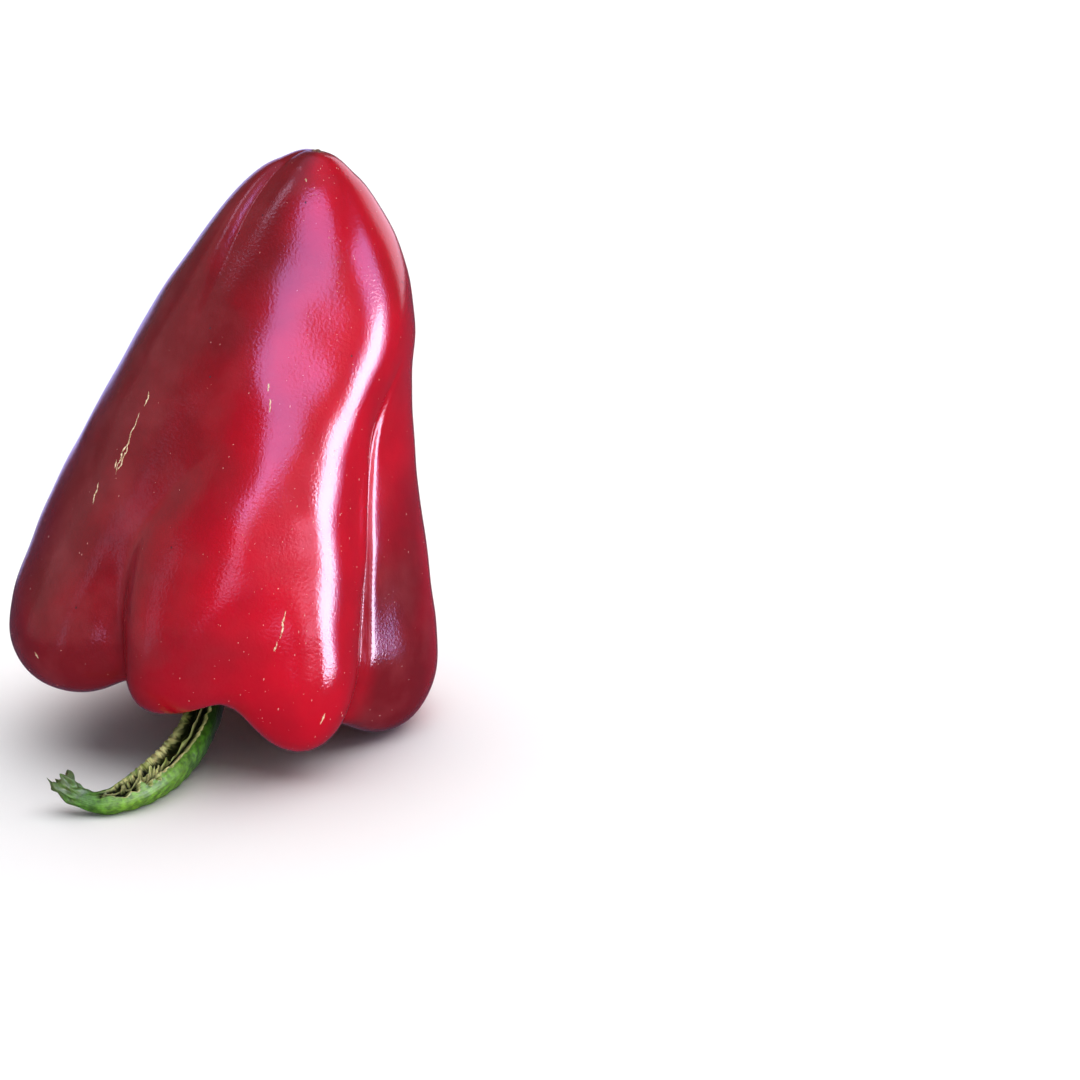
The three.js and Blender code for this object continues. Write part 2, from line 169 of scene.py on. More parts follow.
# %% Grooves and swellings of the fruit, in millimetres
# Each line has its bearing, its height and its width as knots along the place. A groove has a negative
# height. sides widens it before and after its bearing.
SMALLEST_ARM = 7        # near a pole, distances around the skin are measured as if this far from the axis
RIGHT_BEARING = [(0.1, 316), (0.27, 317), (0.36, 320), (0.46, 322), (0.53, 322), (0.58, 323), (0.63, 328),
                 (0.7, 338)]
RELIEF = {
    "left_groove": dict(
        kind="groove", sides=(2, 0.8),
        bearing=[(0.1, 243), (0.25, 243.5), (0.33, 241.5), (0.4, 238), (0.45, 239), (0.5, 245),
                 (0.55, 254), (0.62, 262)],
        height=[(0, 0), (0.08, -1.5), (0.18, -4.5), (0.28, -7), (0.36, -6), (0.44, -3.4), (0.52, -1.6),
                (0.62, 0)],
        width=[(0.1, 3), (0.3, 3.4), (0.5, 5)]),
    "upper_crease": dict(
        kind="groove", sides=(0.7, 3),
        bearing=[(0.6, 234), (0.7, 230), (0.76, 222), (0.82, 213), (0.88, 206), (1, 200)],
        height=[(0.62, 0), (0.7, -0.9), (0.78, -1.7), (0.85, -1.6), (0.92, -0.6), (0.97, 0)],
        width=[(0.6, 4), (0.8, 2.6), (1, 2.4)]),
    "right_groove": dict(
        kind="fold", sides=(1.8, 4.4), bearing=RIGHT_BEARING,
        height=[(0, 0), (0.08, -2), (0.18, -4.5), (0.28, -6), (0.38, -5), (0.48, -4), (0.57, -2.8),
                (0.63, -1.2), (0.7, 0)],
        width=[(0.1, 1.5), (0.22, 1.8), (0.34, 3), (0.5, 3.4), (0.6, 3.6), (0.7, 4)]),
    "right_crease": dict(
        kind="groove", sides=(1.4, 0.8), bearing=RIGHT_BEARING,
        height=[(0.1, 0), (0.2, -1.6), (0.3, -1.8), (0.5, -1.3), (0.6, -0.8), (0.68, 0)], width=[(0.1, 1)]),
    "back_groove": dict(
        kind="groove", bearing=[(0.1, 50), (0.5, 52), (1, 60)],
        height=[(0, 0), (0.1, -2), (0.22, -5), (0.3, -6.5), (0.4, -5), (0.55, -3), (0.75, -1.2), (0.9, -0.4),
                (0.95, 0)],
        width=[(0.1, 3), (0.3, 4), (0.6, 8)]),
    "far_groove": dict(
        kind="groove", bearing=[(0.1, 142), (0.5, 140), (1, 135)],
        height=[(0, 0), (0.1, -2), (0.22, -5), (0.3, -6), (0.4, -5), (0.55, -3), (0.75, -1.2), (0.9, -0.4),
                (0.95, 0)],
        width=[(0.1, 3), (0.3, 4), (0.6, 8)]),
    "front_dip": dict(
        kind="groove", bearing=[(0.1, 276), (0.4, 277)],
        height=[(0.06, 0), (0.15, -3.5), (0.25, -7), (0.31, -5.5), (0.37, -1.8), (0.44, 0)], width=[(0, 8)]),
    "front_flat": dict(
        kind="swelling", bearing=[(0.6, 283), (0.7, 279), (0.8, 272), (0.9, 270)],
        height=[(0.56, 0), (0.64, -0.5), (0.72, -1.6), (0.8, -1.9), (0.88, -0.8), (0.94, 0)],
        width=[(0.6, 9), (0.8, 9), (0.9, 7)]),
    "front_ridge": dict(
        kind="swelling", bearing=[(0.38, 262), (0.42, 266), (0.5, 272), (0.56, 276), (0.62, 278)],
        height=[(0.3, 0), (0.4, 1), (0.5, 1.6), (0.6, 0.8), (0.7, 0)], width=[(0, 6)]),
    "right_front_ridge": dict(
        kind="swelling",
        bearing=[(0.25, 300), (0.35, 299), (0.45, 297), (0.53, 296), (0.59, 299), (0.65, 309), (0.7, 316),
                 (0.78, 314)],
        height=[(0.1, 0), (0.2, 1.6), (0.3, 2.8), (0.45, 2.4), (0.55, 2.2), (0.65, 1.8), (0.78, 0.8),
                (0.85, 0)],
        width=[(0.3, 7), (0.5, 7), (0.65, 6)]),
    "inner_fold": dict(
        kind="swelling", bearing=[(0.4, 318), (0.55, 317)],
        height=[(0.42, 0), (0.48, 1.1), (0.54, 1.1), (0.6, 0)], width=[(0.4, 1.6)]),
    "left_foot": dict(
        kind="swelling", bearing=[(0.1, 208)], height=[(0.12, 0), (0.22, 2), (0.3, 1.8), (0.4, 0)],
        width=[(0, 11)]),
    "right_foot": dict(
        kind="swelling", bearing=[(0.1, 330), (0.24, 331), (0.34, 346)],
        height=[(0.12, 0), (0.22, 2.4), (0.3, 1.2), (0.4, 0.4), (0.5, 0.5), (0.62, 0)], width=[(0, 11)]),
    "back_foot": dict(
        kind="swelling", bearing=[(0.1, 92)],
        height=[(0.1, 0), (0.22, 5.9), (0.28, 3.5), (0.36, 0.8), (0.46, 0)], width=[(0, 11)]),
}
print(len(RELIEF), "grooves and swellings:", ", ".join(RELIEF))

# %% Points of the skin
def plain_skin(bearing, place):
    """Outline turned about the axis: x = radius * cos(bearing) + drift, y = radius * sin(bearing) * DEPTH,
    z = height."""
    radius, height = np.moveaxis(spline(OUTLINE, place), -1, 0)
    angle = np.radians(bearing)
    x = radius * np.cos(angle) + smooth(AXIS_DRIFT, height)
    return np.stack([x, radius * np.sin(angle) * DEPTH, height], -1)


def plain_normal(bearing, place):
    """Outward normal of the plain skin: the cross product of small steps around and along it, or the axis at
    a pole."""
    step = 0.001
    inner = np.clip(place, 2 * step, 1 - 2 * step)
    around = plain_skin(bearing + 0.5, inner) - plain_skin(bearing - 0.5, inner)
    along = plain_skin(bearing, inner + step) - plain_skin(bearing, inner - step)
    normal = unit(np.cross(around, along))
    normal[place <= step] = (0, 0, -1)
    normal[place >= 1 - step] = (0, 0, 1)
    return normal


def relief(bearing, place):
    """Sum of the grooves, height / (1 + (d / width)^2), and the swellings, height * exp(-(d / width)^2 / 2),
    where d is the distance in millimetres around the skin from the line's bearing. A fold is a groove before
    its bearing and a swelling after it."""
    arm = np.maximum(spline(OUTLINE, place)[..., 0], SMALLEST_ARM)
    total = np.zeros(np.broadcast(bearing, place).shape)
    for line in RELIEF.values():
        away = (bearing - smooth(line["bearing"], place) + 180) % 360 - 180
        distance = np.radians(away) * arm
        before, after = line.get("sides", (1, 1))
        ratio = (distance / (smooth(line["width"], place) * np.where(distance < 0, before, after)))**2
        wide = line["kind"] == "groove" or (line["kind"] == "fold") & (distance < 0)
        shape = np.where(wide, 1 / (1 + ratio), np.exp(-ratio / 2))
        total += smooth(line["height"], place) * shape
    return total


def ripple(points, size, height, seed):
    """Gentle unevenness: a sum of 24 cosines of random direction and phase, with waves of about the given
    size in millimetres."""
    rng = np.random.default_rng(seed)
    total = np.zeros(points.shape[:-1])
    waves = 24
    for _ in range(waves):
        direction = unit(rng.normal(size=3)) * 2 * math.pi / (size * rng.uniform(0.7, 1.5))
        total += np.cos(points @ direction + rng.uniform(0, 2 * math.pi))
    return total * height / math.sqrt(waves)


def stand(points):
    """Turns upright points the way the fruit stands: tilt about Y, then lean about X."""
    t, l = math.radians(TILT_RIGHT), math.radians(LEAN_AWAY)
    tilt = np.array([[math.cos(t), 0, math.sin(t)], [0, 1, 0], [-math.sin(t), 0, math.cos(t)]])
    lean = np.array([[1, 0, 0], [0, math.cos(l), math.sin(l)], [0, -math.sin(l), math.cos(l)]])
    return points @ (lean @ tilt).T


BROAD_RIPPLE, FINE_RIPPLE = dict(size=26, height=0.2, seed=3), dict(size=11, height=0.08, seed=8)


def skin(bearing, place, lift=0.0):
    """A point of the finished skin in the upright fruit, lifted off it by lift millimetres."""
    base = plain_skin(bearing, place)
    uneven = ripple(base, **BROAD_RIPPLE) + ripple(base, **FINE_RIPPLE)
    fade = np.sin(np.pi * np.clip(place, 0, 1))**0.5
    raised = relief(bearing, place) + uneven * fade + lift
    return base + plain_normal(bearing, place) * raised[..., None]


print("blossom end of the upright fruit, mm:", skin(np.zeros(1), np.ones(1))[0].round(1))

# %% [markdown]
# ## Standing it in the frame
#
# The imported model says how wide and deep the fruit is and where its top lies. The formula gives the same
# fruit about its own axis, so it is measured once on a coarse grid and shifted to fit that box. A real
# pepper gives a little where it stands, so what would lie under the table is pressed flat.

# %% Where the fruit stands in the frame
low, high = (np.array(corner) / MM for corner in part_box("fruit"))
probe_bearing, probe_place = np.meshgrid(np.arange(0, 360, 1.0), np.linspace(0, 1, 361))
probe = stand(skin(probe_bearing, probe_place)).reshape(-1, 3)
foot = (low + high) / 2 - (probe.min(0) + probe.max(0)) / 2
foot[2] = high[2] - probe[:, 2].max()
print("foot of the fruit's axis, mm:", foot.round(2))
print("lowest skin before pressing, mm:", round(probe[:, 2].min() + foot[2], 2))


def placed(points):
    """Upright fruit millimetres to frame metres, pressed flat where the fruit meets the table."""
    world = stand(points) + foot
    world[..., 2] = np.maximum(world[..., 2], 0)
    return world * MM


# %% [markdown]
# ## From a grid of points to a mesh
#
# Every piece is a closed skin: rings of points between two poles. Each ring is joined to the next by quads,
# and the end rings to their poles by triangles. The grid's own two numbers are kept as UV coordinates, so
# that a pattern can follow the surface.

# %% Mesh from a grid
def closed_faces(rings, columns):
    """Faces of rings of points between two poles, point 0 and the last: the corners of the quads and of the
    triangles, each with its UVs."""
    ring, column = np.meshgrid(np.arange(rings - 1), np.arange(columns), indexing="ij")
    after = (column + 1) % columns
    at = lambda r, c: 1 + r * columns + c
    corners = [at(ring, column), at(ring, after), at(ring + 1, after), at(ring + 1, column)]
    quads = np.stack(corners, -1).reshape(-1, 4)
    v = (np.array([ring, ring, ring + 1, ring + 1]) + 1) / (rings + 1)
    u = np.array([column, column + 1, column + 1, column]) / columns
    quad_uv = np.stack([u, v], -1).transpose(1, 2, 0, 3).reshape(-1, 4, 2)
    c = np.arange(columns)
    zero, last = np.zeros(columns, int), np.full(columns, rings * columns + 1)
    low_fan = np.stack([zero, at(0, (c + 1) % columns), at(0, c)], -1)
    high_fan = np.stack([at(rings - 1, c), at(rings - 1, (c + 1) % columns), last], -1)
    middle, left, right = (c + 0.5) / columns, c / columns, (c + 1) / columns
    low_v, high_v = 1 / (rings + 1), rings / (rings + 1)
    low_uv = np.stack([np.stack([middle, 0 * c], -1), np.stack([right, 0 * c + low_v], -1),
                       np.stack([left, 0 * c + low_v], -1)], 1)
    high_uv = np.stack([np.stack([left, 0 * c + high_v], -1), np.stack([right, 0 * c + high_v], -1),
                        np.stack([middle, 0 * c + 1.0], -1)], 1)
    return quads, quad_uv, np.vstack([low_fan, high_fan]), np.vstack([low_uv, high_uv])


def solid_piece(name, grids, values=None):
    """One mesh of closed solids. Each grid has shape (rings + 2, columns, 3), in metres, and its first and
    last rows are poles. values maps the name of a point attribute to one array for each grid, of shape
    (rings + 2, columns)."""
    points, corners, totals, uvs, offset = [], [], [], [], 0
    for grid in grids:
        rings, columns = grid.shape[0] - 2, grid.shape[1]
        quads, quad_uv, triangles, triangle_uv = closed_faces(rings, columns)
        points.append(np.vstack([grid[0, :1], grid[1:-1].reshape(-1, 3), grid[-1, :1]]))
        corners += [quads.ravel() + offset, triangles.ravel() + offset]
        totals += [np.full(len(quads), 4), np.full(len(triangles), 3)]
        uvs += [quad_uv.reshape(-1, 2), triangle_uv.reshape(-1, 2)]
        offset += len(points[-1])
    points, corners, totals, uvs = (np.concatenate(part) for part in (points, corners, totals, uvs))
    mesh = bpy.data.meshes.new(name)
    mesh.vertices.add(len(points))
    mesh.vertices.foreach_set("co", points.ravel())
    mesh.loops.add(len(corners))
    mesh.loops.foreach_set("vertex_index", corners)
    mesh.polygons.add(len(totals))
    mesh.polygons.foreach_set("loop_start", np.concatenate([[0], np.cumsum(totals)[:-1]]))
    mesh.polygons.foreach_set("loop_total", totals)
    mesh.update(calc_edges=True)
    mesh.uv_layers.new(name="UVMap").data.foreach_set("uv", uvs.ravel())
    for label, arrays in (values or {}).items():
        flat = [np.concatenate([a[0, :1], a[1:-1].ravel(), a[-1, :1]]) for a in arrays]
        mesh.attributes.new(label, "FLOAT", "POINT").data.foreach_set("value", np.concatenate(flat))
    mesh.shade_smooth()
    mesh.validate()
    piece = bpy.data.objects.new(name, mesh)
    bpy.context.scene.collection.objects.link(piece)
    triangles = int((totals - 2).sum())
    print(name, "has", triangles, "triangles, size in mm:", (np.ptp(points, axis=0) / MM).round(1))
    return piece


def on_frame(piece, node=None):
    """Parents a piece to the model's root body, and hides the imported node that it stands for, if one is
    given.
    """
    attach(piece, "root")
    if node:
        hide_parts(node)


quads, _, triangles, _ = closed_faces(rings=3, columns=4)
print("three rings of four points give", len(quads), "quads and", len(triangles), "triangles")

# %% [markdown]
# ## The fruit
#
# The body of the pepper grew as one piece, so it is one closed mesh. The grid is fine enough for the sharp
# edges that bright windows draw on wet-looking skin. It also carries a number, shade, that says where the
# skin is painted darker. On the left side that is partly a deeper red of the skin and partly painted shade;
# low on the inner side of the right lobe it is painted shade alone. A number on the points is easier to aim
# than a painted image, and the material below turns it into colour.

# %% The fruit
FRUIT_RINGS, FRUIT_COLUMNS = 250, 390
LEFT_SHADE, LEFT_REACH = 216, 50            # bearing and reach in degrees
FOOT_SHADE, FOOT_REACH, FOOT_TOP = 338, 17, 0.56


fruit_bearing, fruit_place = np.meshgrid(
    np.arange(FRUIT_COLUMNS) * 360 / FRUIT_COLUMNS, np.linspace(0, 1, FRUIT_RINGS + 2))
from_left = (fruit_bearing - LEFT_SHADE + 180) % 360 - 180
from_foot = (fruit_bearing - FOOT_SHADE + 180) % 360 - 180
# Painted shade: darker on the left, partly as a deeper skin red and partly as shade, and on the foot of the
# right lobe below FOOT_TOP, as shade alone.
fruit_tone_and_shade = (0.85 * np.exp(-(from_left / LEFT_REACH)**4) + 0.1
               + 0.9 * np.exp(-(from_foot / FOOT_REACH)**4) * np.clip((FOOT_TOP - fruit_place) / 0.14, 0, 1))
fruit = solid_piece("pepper_fruit", [placed(skin(fruit_bearing, fruit_place))], {"shade": [fruit_tone_and_shade]})
on_frame(fruit, "fruit")

# %% [markdown]
# ## The skin's finish
#
# Pepper skin is coloured flesh under a clear film of wax. The film mirrors the windows, and the flesh gives
# the deep red and lets a little light wander. Mixing a glossy and a matt shader could do that, but the
# Principled shader has both in the right order: a matt base with some subsurface scattering, and all the
# gloss in its coat. First come four short forms that every material here uses.

# %% Short forms for materials
def new_material(name):
    """An empty node material, and its node tree."""
    material = bpy.data.materials.new(name)
    material.use_nodes = True
    material.node_tree.nodes.clear()
    return material, material.node_tree


def attribute(tree, name):
    """The value of a point attribute."""
    return add(tree, "ShaderNodeAttribute", attribute_name=name).outputs["Fac"]


def ramp(tree, value, stops):
    """A colour ramp through (position, hex) stops."""
    node = add(tree, "ShaderNodeValToRGB", {"Fac": value})
    elements = node.color_ramp.elements
    elements[0].position, elements[0].color = stops[0][0], linear(stops[0][1])
    elements[1].position, elements[1].color = stops[-1][0], linear(stops[-1][1])
    for position, colour in stops[1:-1]:
        elements.new(position).color = linear(colour)
    return node.outputs["Color"]


def mixed(tree, factor, a, b):
    """Colour a turning to colour b as factor goes from 0 to 1."""
    return add(tree, "ShaderNodeMix", {"Factor": factor, "A": a, "B": b}, data_type="RGBA").outputs["Result"]


print("material helpers ready")

# %% Skin material
# Wax film over flesh: a mirror with soft edges over deep red. Wax and wet plant skin have an IOR of 1.4 to
# 1.5. The mottle spans about 16 mm and the cloudy patches 9 mm. The skin's cells are about 0.1 mm, too fine
# to show, so their grain is drawn at 0.5 mm.
MOTTLE, CLOUDS, SKIN_GRAIN = 0.016, 0.009, 0.0005
# The darkest red is partly a deeper skin colour and partly painted shade, where the shade number is high.
SKIN_REDS = [(0, "#b8041e"), (0.45, "#96061a"), (1, "#6c1018")]     # from ripe to shaded
CLOUDY_BROWN = "#8a3238"


def skin_material():
    material, tree = new_material("ripe_pepper_skin")
    where = add(tree, "ShaderNodeTexCoord").outputs["Object"]
    shade = attribute(tree, "shade")
    mottle = add(tree, "ShaderNodeTexNoise", {"Vector": where}, Scale=1 / MOTTLE, Detail=4.0, Roughness=0.55)
    uneven = add(tree, "ShaderNodeMapRange", {"Value": mottle.outputs["Fac"]}, To_Min=-0.55, To_Max=0.55)
    # The shade number, painted shade with some deeper skin red, adds to the mottle to darken the red.
    depth = add(tree, "ShaderNodeMath", {0: shade, 1: uneven.outputs[0]}, operation="ADD", use_clamp=True)
    red = ramp(tree, depth.outputs[0], SKIN_REDS)
    cloud = add(tree, "ShaderNodeTexNoise", {"Vector": where}, Scale=1 / CLOUDS, Detail=3.0, Roughness=0.5)
    cloudy = add(tree, "ShaderNodeMapRange", {"Value": cloud.outputs["Fac"]},
                 From_Min=0.45, From_Max=0.75, To_Max=0.5)
    patches = add(tree, "ShaderNodeMath", {0: cloudy.outputs[0], 1: shade},
                  operation="MULTIPLY", use_clamp=True)
    colour = add(tree, "ShaderNodeMix", {"Factor": patches.outputs[0], "A": red}, data_type="RGBA")
    colour.inputs["B"].default_value = linear(CLOUDY_BROWN)
    grain = add(tree, "ShaderNodeTexNoise", {"Vector": where}, Scale=1 / SKIN_GRAIN, Detail=2.0)
    bump = add(tree, "ShaderNodeBump", {"Height": grain.outputs["Fac"]}, Strength=1.0, Distance=0.00004)
    normal = bump.outputs["Normal"]
    shader = add(tree, "ShaderNodeBsdfPrincipled",
                 {"Base Color": colour.outputs["Result"], "Normal": normal, "Coat Normal": normal},
                 Roughness=0.5, IOR=1.5, Specular_IOR_Level=0.0, Subsurface_Weight=0.1,
                 Subsurface_Scale=0.002, Coat_Weight=1.0, Coat_Roughness=0.17, Coat_IOR=1.5)
    shader.inputs["Subsurface Radius"].default_value = (1.0, 0.15, 0.08)
    add(tree, "ShaderNodeOutputMaterial", {"Surface": shader.outputs["BSDF"]})
    return material


fruit.data.materials.append(skin_material())
print("skin material has", len(fruit.data.materials[0].node_tree.nodes), "nodes")

# %% [markdown]
# ## Calyx and stem
#
# The calyx is the green cap that holds the fruit. It hugs the hollow between the shoulders and has six blunt
# points. The stem grows out of it, bends forward to the table, and ends where it was torn off. A strip of
# its skin went with the tear, and left a dark fibrous channel between two pale lips. Both could be sculpted
# from cylinders. Here the calyx is the skin formula again, lifted off the fruit, so that it fits the hollow,
# and the stem is a ring of points carried along a curve, so that the tear is a function too.

# %% Calyx
CALYX_REACH, CALYX_POINTS, CALYX_POINT_DEPTH = 0.1, 6, 0.16      # reach is a place on the skin
CALYX_THICKNESS, JOINT_GAP = 2.6, 0.35                           # millimetres
CALYX_RINGS, CALYX_COLUMNS = 60, 240

calyx_bearing, calyx_row = np.meshgrid(
    np.arange(CALYX_COLUMNS) * 360 / CALYX_COLUMNS, np.linspace(0, 1, CALYX_RINGS + 2))
shows = calyx_row < 0.5
share = np.where(shows, 2 * calyx_row, 2 * (1 - calyx_row))
wave = np.cos(np.radians(calyx_bearing * CALYX_POINTS)) + 0.25 * np.cos(np.radians(calyx_bearing * 13 + 40))
vein = np.abs(np.cos(np.radians(calyx_bearing * CALYX_POINTS / 2)))**12
dome = CALYX_THICKNESS * np.sqrt(1 - share**2) + 0.3 * vein * share * (1 - share**4)
calyx_lift = JOINT_GAP + np.where(shows, dome, 0)
calyx_place = CALYX_REACH * (1 + CALYX_POINT_DEPTH * wave) * share
calyx = solid_piece(
    "pepper_calyx", [placed(skin(calyx_bearing, calyx_place, calyx_lift))], {"vein": [vein * share]})
on_frame(calyx, "calyx")

# %% The stem's route, in millimetres from the point of the table under the fruit's axis
STEM_PATH = [(-0.8, -1.5, 22), (-2.5, -6.5, 13.5), (-3.8, -13.5, 6.8), (-5.4, -20, 4.2), (-7.3, -27, 3.4),
             (-10, -34.5, 3.2), (-13.3, -39.5, 2.8), (-17.2, -42, 2.1), (-20.2, -42.5, 2.4),
             (-23.2, -42.3, 3.8), (-25.4, -41.8, 6.2)]
STEM_SQUARE = 2.5       # how far the stem runs straight out of the calyx


def route(points, count):
    """Evenly spaced points on a smooth curve through the given ones: cubic Hermite spans over the square
    root of the chord, with central slopes."""
    p = np.array(points, float)
    knots = np.concatenate([[0], np.cumsum(np.linalg.norm(np.diff(p, axis=0), axis=1)**0.5)])
    slopes = np.gradient(p, knots, axis=0)
    at = np.linspace(0, knots[-1], 4000)
    i = np.clip(np.searchsorted(knots, at, side="right") - 1, 0, len(knots) - 2)
    step = (knots[i + 1] - knots[i])[:, None]
    t = (at - knots[i])[:, None] / step
    fine = ((2 * t**3 - 3 * t**2 + 1) * p[i] + (t**3 - 2 * t**2 + t) * step * slopes[i]
            + (3 * t**2 - 2 * t**3) * p[i + 1] + (t**3 - t**2) * step * slopes[i + 1])
    length = np.concatenate([[0], np.cumsum(np.linalg.norm(np.diff(fine, axis=0), axis=1))])
    even = np.linspace(0, length[-1], count)
    return np.stack([np.interp(even, length, fine[:, axis]) for axis in range(3)], -1)


root = stand(skin(np.zeros(1), np.zeros(1)))[0] + foot
down_axis = stand(np.array([0, 0, -1.0]))
start = CALYX_THICKNESS + 3 * JOINT_GAP
table_foot = np.array([foot[0], foot[1], 0])
stem_knots = [root + down_axis * start, root + down_axis * (start + STEM_SQUARE)]
stem_knots += [table_foot + xyz for xyz in STEM_PATH]
print("stem length, mm:", np.linalg.norm(np.diff(route(stem_knots, 400), axis=0), axis=1).sum().round(1))

# %% The tear along the stem
# Knots are (fraction along the stem, value). Turns are degrees around it from the middle of the tear.
PEEL_FACES = [(0, (-0.6, -0.8, 0)), (0.35, (-0.5, -0.7, 0.5)), (0.6, (-0.25, -0.55, 0.85)),
              (0.75, (-0.1, -0.4, 0.9)), (0.88, (0.1, -0.3, 0.95)), (1, (0.7, -0.3, 0.5))]
PEEL_HALF = [(0.3, 52), (0.5, 50), (0.65, 44), (0.76, 40), (0.84, 34), (0.9, 16)]
VEIN_TURN = [(0.3, -16), (0.6, -12), (0.8, 4), (0.9, 0)]
RAGGED_FROM = 0.66      # from here on the edge is more ragged and hangs in flaps


def rough(along, turn, lengthwise, around, seed):
    """Ragged noise from about -1 to 1 on the stem: cosines of random frequency along it, and of a random
    whole count around it."""
    rng = np.random.default_rng(seed)
    waves = 30
    total = np.zeros(np.broadcast(along, turn).shape)
    for _ in range(waves):
        total += np.cos(2 * math.pi * rng.uniform(0.3, 1) * lengthwise * along
                        + rng.integers(0, around + 1) * np.radians(turn) + rng.uniform(0, 2 * math.pi))
    return total / math.sqrt(waves) * 1.4


def peel_shape(along, turn):
    """How deep the tear is, in shares of PEEL_DEPTH, how pale its lip is and how much skin is missing, at
    fraction along and turn degrees. The edge is a logistic step. A vein and some flaps stand in the tear.
    The curve of its length swings past its knots, to 3.25 at 0.62 along, so the tear is about three times
    as deep there as at its ends, and its floor reaches the middle of the stem."""
    more_ragged = 0.5 + 2.2 * np.clip((along - RAGGED_FROM) / 0.1, 0, 1)
    ragged = 3 * rough(along, 0 * turn + np.sign(turn) * 60, 40, 1, seed=5) * more_ragged
    edge = np.abs(turn) - smooth(PEEL_HALF, along) - ragged
    length = smooth([(0.22, 0), (0.3, 1), (0.86, 1), (0.905, 0)], along)
    torn = length / (1 + np.exp(np.clip(edge / 2.2, -30, 30)))
    flaps = 0.7 * np.clip(rough(along, turn, 60, 8, seed=11) * 2.2 - 1.3, 0, 1)
    flaps = flaps * np.clip((along - 0.68) / 0.06, 0, 1)
    vein = turn - smooth(VEIN_TURN, along) - 2 * rough(along, 0 * turn, 12, 0, seed=6)
    vein = torn * np.exp(-(vein / 3)**2)
    depth = torn * (1 - 0.85 * flaps) - 0.35 * vein
    lip = np.maximum(length * np.exp(-((edge - 4) / 1.8)**2), 0.5 * vein)
    return depth, np.maximum(lip, 0.5 * torn * (4 * flaps * (1 - flaps))**4), torn


middle = peel_shape(np.array([[0.5]]), np.array([[0.0, 40.0, 90.0]]))[0]
print("tear half way along at 0, 40 and 90 degrees, in shares of its depth:", middle.round(2)[0])

# %% Stem surface, in millimetres
# PEEL_DEPTH is the depth of the tear near its ends, and END_DEPTH that of the hollow in the torn end.
# Splinters are (turn in degrees, length, half width in degrees).
STEM_RINGS, STEM_COLUMNS, INNER_RINGS = 460, 112, 14
STEM_RADIUS = [(0, 4.4), (0.12, 3.4), (0.4, 3.3), (0.6, 3.5), (0.7, 3.4), (0.79, 2.9), (0.86, 2.2),
               (0.91, 1.7), (1, 1.9)]
PEEL_DEPTH, END_DEPTH = 0.95, 2.7
SPLINTERS = [(195, 1.9, 12), (150, 0.7, 9), (330, 1.0, 13), (60, 0.5, 16), (268, 0.8, 12)]


def stem_surface():
    """Outer skin from the calyx to the torn rim, then the hollow inside the rim down to a pole. A point is
    centre + radius * (normal * cos(turn) + side * sin(turn)), and the tear, the ribs and the splinters are
    added to it."""
    outer = np.linspace(0, 1, STEM_RINGS)
    inner = np.linspace(0, 1, INNER_RINGS + 1)[1:]
    along = np.concatenate([outer, np.ones(INNER_RINGS)])[:, None]
    sink = np.concatenate([np.zeros(STEM_RINGS), inner])[:, None]
    turn = ((np.arange(STEM_COLUMNS) * 360 / STEM_COLUMNS + 180) % 360 - 180)[None]
    centre = route(stem_knots, STEM_RINGS)
    tangent = unit(np.gradient(centre, axis=0))
    centre = np.vstack([centre, np.repeat(centre[-1:], INNER_RINGS, 0)])
    tangent = np.vstack([tangent, np.repeat(tangent[-1:], INNER_RINGS, 0)])
    facing = np.stack([smooth([(at, way[axis]) for at, way in PEEL_FACES], along[:, 0])
                       for axis in range(3)], -1)
    normal = unit(facing - (facing * tangent).sum(-1, keepdims=True) * tangent)
    side = np.cross(tangent, normal)

    bare, lip, torn = peel_shape(along, turn)
    angle = np.radians(turn)
    whole = 1 - torn
    end = np.clip((along - 0.9) / 0.08, 0, 1)
    radius = smooth(STEM_RADIUS, along) * (1 + whole * 0.04 * np.cos(5 * angle + 0.6))
    radius = radius + whole * (0.05 * rough(along, turn, 22, 7, seed=2) + 0.03 * np.cos(31 * angle))
    fibres = np.cos(17 * angle + 2 * rough(along, 0 * turn, 5, 0, seed=7))
    radius = radius - PEEL_DEPTH * bare + 0.2 * lip + torn * 0.13 * fibres
    radius = radius + torn * 0.12 * rough(along, turn, 26, 9, seed=9) * np.clip((along - 0.6) / 0.1, 0, 1)
    radius = radius + end * 0.22 * rough(along, turn, 30, 9, seed=4)
    radius = radius * (1 - 0.16 * sink - 0.8 * sink**3)
    spikes = sum(height * np.exp(-(((turn - at + 180) % 360 - 180) / wide)**2)
                 for at, height, wide in SPLINTERS)
    reach = spikes * np.clip((along - 0.955) / 0.045, 0, 1)**1.5 * (1 - sink)**0.5 - 2.6 * sink**1.3
    points = (centre[:, None] + radius[..., None] * (normal[:, None] * np.cos(angle)[..., None]
              + side[:, None] * np.sin(angle)[..., None]) + reach[..., None] * tangent[:, None])
    points[..., 2] = np.maximum(points[..., 2], 0)
    first = np.repeat(centre[:1, None], STEM_COLUMNS, 1)
    last = np.repeat((centre[-1:] - END_DEPTH * tangent[-1:])[:, None], STEM_COLUMNS, 1)
    values = {"along": along + 0 * turn,
              "bare": np.maximum(np.clip(3 * bare, 0, 1), sink + 0 * turn),
              "lip": np.maximum(lip, end * 0.1 + 0 * turn)}
    wrap = lambda a: np.vstack([a[:1], a, a[-1:]])
    return np.vstack([first, points, last]) * MM, {name: [wrap(a)] for name, a in values.items()}


stem_points, stem_values = stem_surface()
stem = solid_piece("pepper_stem", [stem_points], stem_values)
on_frame(stem, "stem")
